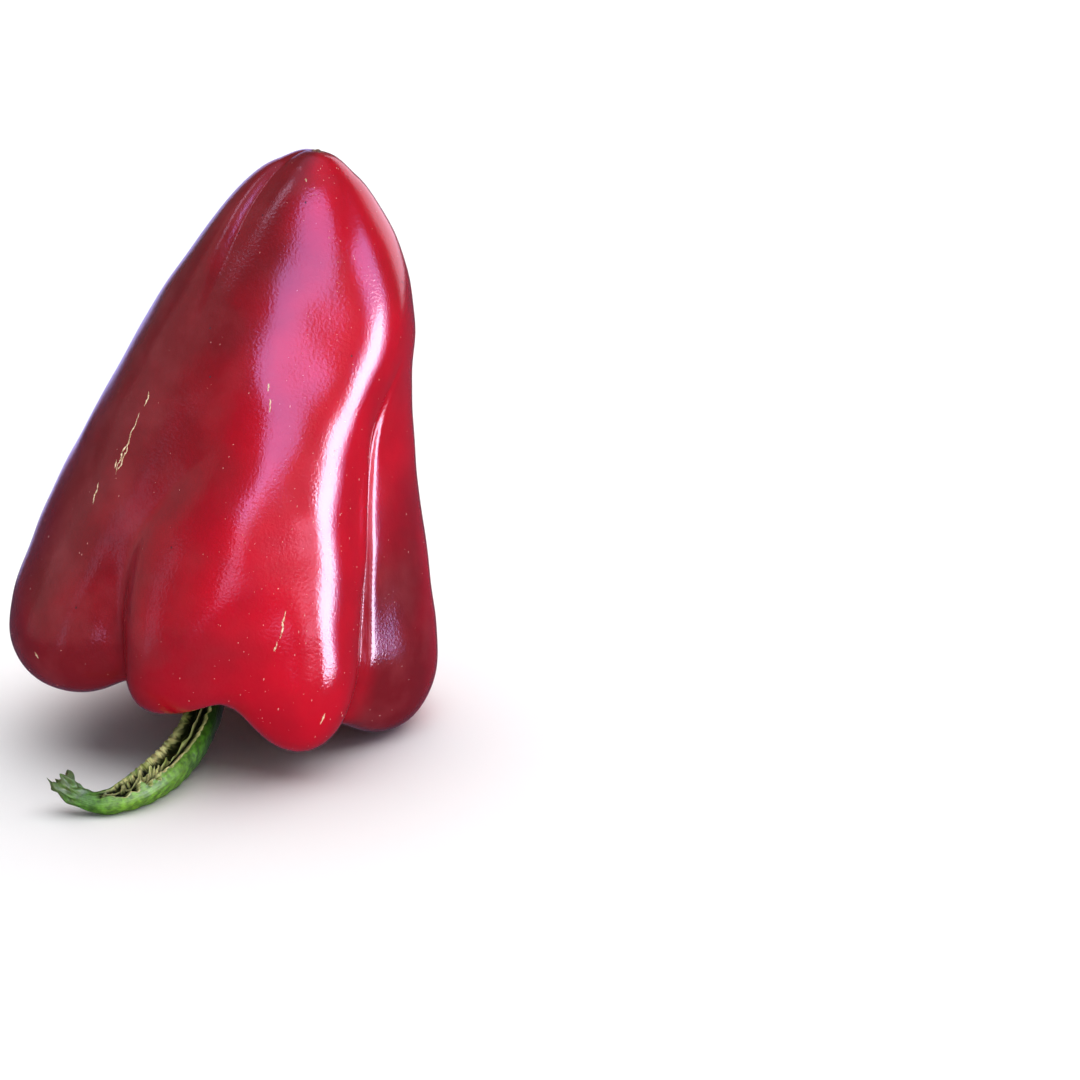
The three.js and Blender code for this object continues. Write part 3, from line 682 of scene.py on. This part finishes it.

# %% [markdown]
# ## Green finishes
#
# The stem is firm green tissue. Its green is painted dark near the fruit, as the shade under it, and bright
# further along, as painted light, then a little darker again towards the torn end. Inside the tear it is
# dry, dark and fibrous, and its lips have dried pale. The calyx is leathery, with pale veins to its points.
# Images could be wrapped round them, but the shapes already know where the tear is, so the same numbers
# choose the colours, and noise stretched along the UVs draws the fibres.

# %% Green materials
# Stem: waxed green skin (IOR about 1.45, half rough) beside bare fibres that hardly shine. Its flecks are
# about 1 mm. Real fibres are about 0.1 mm apart, too fine to show, so they are drawn about 0.6 mm apart:
# FIBRE_REPEATS is how often the noise repeats around and along the stem.
# Greens from the fruit to the torn end, by the fraction along the stem: painted shade near the fruit, painted
# light in the middle, a little darker at the end.
STEM_GREENS_LIT_AND_SHADED = [(0.3, "#102404"), (0.45, "#254c0c"), (0.56, "#4c8616"), (0.68, "#6ea61e"), (0.82, "#76aa26"),
               (0.92, "#4c8424"), (1, "#35601a")]
STEM_CORE = [(0.36, "#080a03"), (0.54, "#141a08"), (0.68, "#303614"), (0.82, "#6c6a38")]
STEM_STRAW = [(0.35, "#7f9048"), (0.6, "#c9c98c")]
STEM_SPOTS = [(0.36, "#6f7f60"), (0.5, "#c8c8c8"), (0.66, "#ffffff")]
STEM_FLECK, FIBRE_REPEATS = 0.0011, (38, 9, 1)


def stem_material():
    material, tree = new_material("torn_green_stem")
    where = add(tree, "ShaderNodeTexCoord")
    bare = attribute(tree, "bare")
    fleck = add(tree, "ShaderNodeTexNoise", {"Vector": where.outputs["Object"]},
                Scale=1 / STEM_FLECK, Detail=3.0)
    # Painted light and shade along the stem: dark by the fruit, bright in the middle.
    lit_and_shaded_greens = ramp(tree, attribute(tree, "along"), STEM_GREENS_LIT_AND_SHADED)
    spots = ramp(tree, fleck.outputs["Fac"], STEM_SPOTS)
    flecked = add(tree, "ShaderNodeMix", {"A": lit_and_shaded_greens, "B": spots}, data_type="RGBA", blend_type="MULTIPLY")
    flecked.inputs["Factor"].default_value = 0.75
    stretch = add(tree, "ShaderNodeMapping", {"Vector": where.outputs["UV"]})
    stretch.inputs["Scale"].default_value = FIBRE_REPEATS
    fibres = add(tree, "ShaderNodeTexNoise", {"Vector": stretch.outputs["Vector"]},
                 Scale=1.0, Detail=5.0, Roughness=0.6)
    colour = mixed(tree, bare, flecked.outputs["Result"], ramp(tree, fibres.outputs["Fac"], STEM_CORE))
    colour = mixed(tree, attribute(tree, "lip"), colour, ramp(tree, fibres.outputs["Fac"], STEM_STRAW))
    height = add(tree, "ShaderNodeMath", {0: fibres.outputs["Fac"], 1: fleck.outputs["Fac"]},
                 operation="ADD")
    bump = add(tree, "ShaderNodeBump", {"Height": height.outputs[0]}, Strength=0.5, Distance=0.00025)
    polish = add(tree, "ShaderNodeMapRange", {"Value": bare}, To_Min=0.5, To_Max=0.04)
    shader = add(tree, "ShaderNodeBsdfPrincipled",
                 {"Base Color": colour, "Normal": bump.outputs["Normal"],
                  "Specular IOR Level": polish.outputs[0]},
                 Roughness=0.5, IOR=1.45, Subsurface_Weight=0.08, Subsurface_Scale=0.001)
    add(tree, "ShaderNodeOutputMaterial", {"Surface": shader.outputs["BSDF"]})
    return material


# Calyx: a leathery leaf (IOR about 1.45, half rough), mottled over about 3 mm.
CALYX_MOTTLE, CALYX_GREENS, CALYX_VEIN = 0.003, [(0.35, "#2c4f17"), (0.65, "#5c8a30")], "#93ab5a"


def calyx_material():
    material, tree = new_material("leathery_green_calyx")
    where = add(tree, "ShaderNodeTexCoord").outputs["Object"]
    mottle = add(tree, "ShaderNodeTexNoise", {"Vector": where}, Scale=1 / CALYX_MOTTLE, Detail=4.0)
    green = ramp(tree, mottle.outputs["Fac"], CALYX_GREENS)
    colour = add(tree, "ShaderNodeMix", {"Factor": attribute(tree, "vein"), "A": green}, data_type="RGBA")
    colour.inputs["B"].default_value = linear(CALYX_VEIN)
    bump = add(tree, "ShaderNodeBump", {"Height": mottle.outputs["Fac"]}, Strength=0.4, Distance=0.0003)
    shader = add(tree, "ShaderNodeBsdfPrincipled",
                 {"Base Color": colour.outputs["Result"], "Normal": bump.outputs["Normal"]},
                 Roughness=0.5, IOR=1.45)
    add(tree, "ShaderNodeOutputMaterial", {"Surface": shader.outputs["BSDF"]})
    return material


stem.data.materials.append(stem_material())
calyx.data.materials.append(calyx_material())
print("green materials:", [piece.data.materials[0].name for piece in (stem, calyx)])

# %% [markdown]
# ## Marks of growing
#
# Where the skin stretched too fast it split in hair-thin lines, and the splits healed as pale cork. Small
# pale flecks and a few dark specks are scattered over it, and a dry brown scar marks where the flower was.
# They are dry and rough against the gloss. They could be painted by a texture, but a crack stands a little
# proud, so each is a tiny closed solid on the skin.

# %% Cork cracks
# Each crack is a line of (bearing, place). CRACK_WIDTH and CRACK_HEIGHT are half sizes in millimetres.
CRACKS = [
    [(224, 0.564), (224.7, 0.552), (224.2, 0.544), (225.2, 0.534), (224.1, 0.524), (224.9, 0.517),
     (224.3, 0.511), (225.3, 0.502)],
    [(224.9, 0.533), (226, 0.527), (225.4, 0.519), (226, 0.513), (225, 0.506)],
    [(224.4, 0.586), (225.5, 0.58), (225.1, 0.571)], [(223.2, 0.515), (223.8, 0.507)],
    [(218.9, 0.488), (219.8, 0.48), (219.4, 0.475), (220.4, 0.467)],
    [(271, 0.628), (271.5, 0.62)], [(273, 0.613), (274, 0.6)],
    [(288, 0.42), (287.4, 0.409), (287.6, 0.404), (287, 0.394)], [(286.5, 0.391), (285.8, 0.382)],
    [(260.5, 0.874), (262, 0.872), (263, 0.868)], [(217, 0.312), (218.4, 0.307)],
    [(301, 0.33), (300.6, 0.318)],
]
CRACK_WIDTH, CRACK_HEIGHT = 0.17, 0.1


def skin_frame(bearing, place):
    """Point, direction around, direction along and outward normal of the finished skin."""
    point = skin(bearing, place)
    around = unit(skin(bearing + 0.2, place) - skin(bearing - 0.2, place))
    along = unit(skin(bearing, place + 0.001) - skin(bearing, place - 0.001))
    return point, around, along, unit(np.cross(around, along))


def strand(line, width, height, seed):
    """A thin flattened thread that lies on the skin along (bearing, place) points. Both ends taper."""
    steps, columns = 14 * len(line), 8
    at = np.linspace(0, len(line) - 1, steps)
    bearing, place = (np.interp(at, np.arange(len(line)), column) for column in np.array(line).T)
    jitter = np.random.default_rng(seed).normal(size=(2, steps))
    bearing, place = bearing + 0.07 * jitter[0], place + 0.0003 * jitter[1]
    point, _, _, normal = skin_frame(bearing, place)
    tangent = unit(np.gradient(point, axis=0))
    side = unit(np.cross(normal, tangent))
    swell = np.sin(np.linspace(0, math.pi, steps))**0.5 * (0.75 + 0.25 * np.sin(at * 9 + seed))
    turn = np.arange(columns) * 2 * math.pi / columns
    ring = (width * np.cos(turn)[None, :, None] * side[:, None]
            + height * np.sin(turn)[None, :, None] * normal[:, None])
    return placed(point[:, None] + swell[:, None, None] * ring)


cracks = solid_piece(
    "cork_cracks", [strand(line, CRACK_WIDTH, CRACK_HEIGHT, k) for k, line in enumerate(CRACKS)])
on_frame(cracks)

# %% Flecks and specks
# Nearly half of the flecks are near bearing FLECK_SUN, and half are near FLECK_PLACE. A third are drawn out
# along the fruit. Specks are (bearing, place), and MORE_SPECKS others lie anywhere.
FLECKS, FLECK_SUN, FLECK_PLACE = 560, 292, 0.45
SPECKS = [(254, 0.457), (302, 0.667), (316, 0.519), (317.5, 0.51), (248, 0.62), (226, 0.37)]
MORE_SPECKS = 12


def domes(bearing, place, across, tall, height):
    """One small flattened ball for each bearing and place: half sizes in millimetres around, along and out
    of the skin."""
    point, around, along, normal = (part[:, None, None] for part in skin_frame(bearing, place))
    down, turn = np.linspace(0, math.pi, 6)[:, None], np.arange(8) * math.pi / 4
    size = lambda value: np.reshape(value, (-1, 1, 1, 1))
    ball = (size(across) * around * (np.sin(down) * np.cos(turn))[None, ..., None]
            + size(tall) * along * (np.sin(down) * np.sin(turn))[None, ..., None]
            - size(height) * normal * (np.cos(down) + 0 * turn)[None, ..., None])
    return list(placed(point + ball))


rng = np.random.default_rng(21)
fleck_bearing = np.where(rng.random(FLECKS) < 0.45, rng.normal(FLECK_SUN, 14, FLECKS),
                         rng.uniform(0, 360, FLECKS))
fleck_place = np.where(rng.random(FLECKS) < 0.5, rng.normal(FLECK_PLACE, 0.1, FLECKS),
                       rng.uniform(0.25, 0.92, FLECKS))
fleck_size = 0.035 + 0.055 * rng.random(FLECKS)**3
fleck_tall = fleck_size * rng.choice([1, 1.2, 3], FLECKS)
flecks = solid_piece("pale_flecks", domes(
    fleck_bearing, np.clip(fleck_place, 0.2, 0.95), fleck_size, fleck_tall, 0 * fleck_size + 0.035))
on_frame(flecks)

shown_bearing, shown_place = np.array(SPECKS).T
speck_bearing = np.concatenate([shown_bearing, rng.uniform(0, 360, MORE_SPECKS)])
speck_place = np.concatenate([shown_place, rng.uniform(0.3, 0.9, MORE_SPECKS)])
specks = solid_piece("dark_specks", domes(speck_bearing, speck_place, 0.16, 0.2, 0.05))
on_frame(specks)

# %% Blossom scar
SCAR_REACH = 0.022      # place on the skin, from the blossom end
scar_bearing, scar_row = np.meshgrid(np.arange(0, 360, 4), np.linspace(0, 1, 26))
scar_top = scar_row > 0.5
scar_share = np.where(scar_top, 2 * (1 - scar_row), 2 * scar_row)
scar_angle = np.radians(scar_bearing)
scar_lobes = 0.22 * np.cos(scar_angle * 5) + 0.1 * np.cos(np.radians(scar_bearing * 9 + 70))
scar_edge = SCAR_REACH * (1 + scar_lobes)
scar_bump = (0.25 * np.exp(-(scar_share / 0.35)**2)
             + 0.06 * np.cos(scar_angle * 7) * scar_share * (1 - scar_share))
scar_lift = np.where(scar_top, 0.1 * np.sqrt(np.clip(1 - scar_share**2, 0, 1)) + scar_bump,
                     -0.2 * (1 - scar_share))
scar = solid_piece("blossom_scar", [placed(skin(scar_bearing, 1 - scar_edge * scar_share, scar_lift))])
on_frame(scar)

# %% [markdown]
# ## Dry finishes
#
# Cork and scar tissue are dead cells full of air. They scatter light, so they look chalky, and they have no
# gloss to speak of. All four marks are alike but for their tones, so one function makes their materials.

# %% Cork, fleck, speck and scar materials
def dry_material(name, stops, grain):
    """Dry cork or scar tissue: matt, with its tone changing over the given grain in metres."""
    material, tree = new_material(name)
    where = add(tree, "ShaderNodeTexCoord").outputs["Object"]
    noise = add(tree, "ShaderNodeTexNoise", {"Vector": where}, Scale=1 / grain, Detail=3.0)
    bump = add(tree, "ShaderNodeBump", {"Height": noise.outputs["Fac"]}, Strength=0.6, Distance=0.0001)
    colour = ramp(tree, noise.outputs["Fac"], stops)
    shader = add(tree, "ShaderNodeBsdfPrincipled", {"Base Color": colour, "Normal": bump.outputs["Normal"]},
                 Roughness=0.75, IOR=1.45)
    add(tree, "ShaderNodeOutputMaterial", {"Surface": shader.outputs["BSDF"]})
    return material


# Rough dead tissue (roughness 0.75, IOR about 1.45). Its tone changes over about 0.6 mm, as cork cells do in
# clumps, and over 2 mm from one fleck to the next.
MARKS = [
    (cracks, "healed_cork", [(0.35, "#b08a62"), (0.6, "#ecd9b4")], 0.0006),
    (flecks, "pale_cork_fleck", [(0.35, "#c07068"), (0.6, "#e8b0a4")], 0.002),
    (specks, "dark_dry_speck", [(0.35, "#1c0808"), (0.6, "#3a1210")], 0.0006),
    (scar, "dry_blossom_scar", [(0.35, "#3a2014"), (0.6, "#8a6844")], 0.0007),
]
for piece, name, stops, grain in MARKS:
    piece.data.materials.append(dry_material(name, stops, grain))
print("dry materials:", [name for _, name, _, _ in MARKS])

# %% [markdown]
# ## The table
#
# The pepper stands on a bright white surface. A plane large enough to reach the edge of the view does the
# job. It is matt, so it shows only the pepper's soft shadow, and it counts as stage, not as part of the
# object.

# %% Table
TABLE_REACH = 8.0       # metres from the pepper to the edge

floor_mesh = bpy.data.meshes.new("floor")
sides = [(-1, -1), (1, -1), (1, 1), (-1, 1)]
floor_mesh.from_pydata([(x * TABLE_REACH, y * TABLE_REACH, 0) for x, y in sides], [], [(0, 1, 2, 3)])
floor = bpy.data.objects.new("floor", floor_mesh)
bpy.context.scene.collection.objects.link(floor)
floor_material = bpy.data.materials.new("matt_white_table")     # smooth card: bright, rough, hardly glossy
floor_material.use_nodes = True
floor_shader = floor_material.node_tree.nodes["Principled BSDF"]
floor_shader.inputs["Base Color"].default_value = linear("#f4f4f4")
floor_shader.inputs["Roughness"].default_value = 0.8
floor_shader.inputs["Specular IOR Level"].default_value = 0.1
floor.data.materials.append(floor_material)
floor.visible_glossy = False    # the skin mirrors the dim room, not a bright table
floor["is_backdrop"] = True
print("table reaches", TABLE_REACH, "m each way")

# %% [markdown]
# ## Windows, a key light and a ceiling
#
# What makes the skin look wet is what it mirrors: a bright window at the right, its curtain, a violet one
# high in front, and dim strips at the left. Each is an area light that shows only in gloss, placed by its
# direction. If they also lit the matt red they would flatten it, so one soft key light does that, and it is
# linked to the pepper alone. A wide sun stands for the ceiling, and is linked to the table alone, for a soft
# shadow on bright white.

# %% Lights
LIGHT_CENTRE = np.array([0, 0, 0.055])      # metres: half way up the pepper


def aim(obj, place, target):
    """Puts obj at place and turns its -Z axis towards target, with its Y axis as far up as can be."""
    obj.location = place
    obj.rotation_euler = (Vector(target) - Vector(place)).to_track_quat("-Z", "Y").to_euler()


def panel(name, azimuth, elevation, size, radiance, colour="#ffffff", distance=1.0, shows_in="gloss"):
    """A flat area light, named by its direction from the pepper: azimuth in degrees to the right of the
    front. A light's power is its radiance times pi times its area. It shows in gloss or in matt shading."""
    a, e = math.radians(azimuth), math.radians(elevation)
    data = bpy.data.lights.new(name, "AREA")
    data.shape = "RECTANGLE"
    data.size, data.size_y = size
    data.energy = radiance * math.pi * size[0] * size[1]
    data.color = linear(colour)[:3]
    light = bpy.data.objects.new(name, data)
    bpy.context.scene.collection.objects.link(light)
    way = np.array([math.sin(a) * math.cos(e), -math.cos(a) * math.cos(e), math.sin(e)])
    aim(light, LIGHT_CENTRE + distance * way, LIGHT_CENTRE)
    light.visible_glossy = shows_in != "shading"
    light.visible_diffuse = shows_in != "gloss"
    return light


def light_only(light, name, pieces):
    """Links a light to a few pieces, so that it lights nothing else."""
    collection = bpy.data.collections.new(name)
    for piece in pieces:
        collection.objects.link(piece)
    light.light_linking.receiver_collection = collection


panel("window_right", 68, 4, (0.44, 0.62), 23, "#f6f2ff")
panel("window_right_curtain", 71, 14, (0.64, 1.1), 8.0, "#b8a8ff", distance=1.02)
panel("window_front", 9, 43, (0.5, 0.84), 7.4, "#bca6ff")
panel("left_slit_high", -80, 58, (0.14, 0.22), 4.5, "#ecd8ff")
panel("left_slit_low", -53, 5, (0.1, 0.44), 1.3, "#e8d4ff")
panel("low_reflector", 40, 4, (0.9, 0.4), 0.6, "#ffc0e8")
panel("left_haze", -84, 20, (0.9, 1.0), 0.5, "#e8bcc0")
panel("front_low_slit", 2, 12, (0.16, 0.5), 5.5, "#dca0d8")
panel("low_glow", 40, 1, (0.5, 0.12), 7, "#ffb8dc")
panel("backdrop_left", -164, 8, (0.5, 0.9), 1.6, "#b8b8ff")
panel("backdrop_right", 146, 16, (0.7, 0.7), 2.2, "#ffd8ee")
key = panel("key", 18, 28, (0.7, 0.7), 6.6, shows_in="shading")
light_only(key, "lit_by_key", [fruit, calyx, stem, cracks, flecks, specks, scar])

ceiling_data = bpy.data.lights.new("ceiling", "SUN")
ceiling_data.energy = 3.3
ceiling_data.angle = math.radians(100)
ceiling = bpy.data.objects.new("ceiling", ceiling_data)
bpy.context.scene.collection.objects.link(ceiling)
aim(ceiling, (0.2, 0.45, 1.4), (0, 0, 0))
ceiling.visible_glossy = False
light_only(ceiling, "lit_by_ceiling", [floor])

# %% [markdown]
# ## The room around
#
# Between the windows the skin mirrors a dim room, a little violet below and pale overhead. Matt surfaces
# would take a violet cast from it, so they see an even grey. The Light Path node tells the two apart.

# %% Room
ROOM_BELOW, ROOM_WALLS, ROOM_OVERHEAD = (0.1, 0.08, 0.13, 1), (0.15, 0.15, 0.16, 1), (0.9, 0.7, 1.1, 1)
ROOM_FOR_MATT = (0.25, 0.25, 0.26, 1)

world = bpy.data.worlds.new("studio")
world.use_nodes = True
sky = world.node_tree
sky_direction = add(sky, "ShaderNodeTexCoord")
sky_height = add(sky, "ShaderNodeSeparateXYZ", {"Vector": sky_direction.outputs["Generated"]})
sky_colour = add(sky, "ShaderNodeValToRGB", {"Fac": sky_height.outputs["Z"]})
sky_stops = sky_colour.color_ramp.elements
sky_stops[0].position, sky_stops[0].color = 0.0, ROOM_BELOW
sky_stops[1].position, sky_stops[1].color = 1.0, ROOM_OVERHEAD
sky_stops.new(0.06).color = ROOM_WALLS
sky_stops.new(0.8).color = ROOM_WALLS
ray = add(sky, "ShaderNodeLightPath")
room = add(sky, "ShaderNodeMix", {"Factor": ray.outputs["Is Diffuse Ray"], "A": sky_colour.outputs["Color"]},
           data_type="RGBA")
room.inputs["B"].default_value = ROOM_FOR_MATT
sky.links.new(room.outputs["Result"], sky.nodes["Background"].inputs["Color"])
bpy.context.scene.world = world
print("room: walls", ROOM_WALLS[:3], "overhead", ROOM_OVERHEAD[:3])

# %% [markdown]
# ## Camera
#
# The view is from a little above, with the pepper left of the middle. A long lens from half a metre keeps
# its proportions, as a close-up with a wide one would not. The Standard view transform keeps white white
# and red saturated.

# %% Camera
CAMERA_ELEVATION = 20       # degrees
CAMERA_DISTANCE = 0.52      # metres
AIM_FROM_AXIS = (57.5, 11.3, 31.0)      # millimetres from the point of the table under the fruit's axis

look_at = (table_foot + AIM_FROM_AXIS) * MM
e = math.radians(CAMERA_ELEVATION)
camera_data = bpy.data.cameras.new("camera")
camera_data.lens = 92.2
camera = bpy.data.objects.new("camera", camera_data)
bpy.context.scene.collection.objects.link(camera)
aim(camera, look_at + CAMERA_DISTANCE * np.array([0, -math.cos(e), math.sin(e)]), look_at)
bpy.context.scene.camera = camera
bpy.context.scene.view_settings.view_transform = "Standard"
print("camera at", [round(x, 3) for x in camera.location], "lens, mm:", round(camera_data.lens, 1))

# %% [markdown]
# ## Check the size
#
# The finished model should fill the same box as the imported one, to within the gentle unevenness of the skin.
# The last line prints how far the visible box reaches past the imported one, in millimetres.

# %% Compare the sizes
growth = (np.array(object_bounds()) - np.array(cad_box)) / MM
print("visible box past the CAD box, mm:", growth.round(2).tolist())
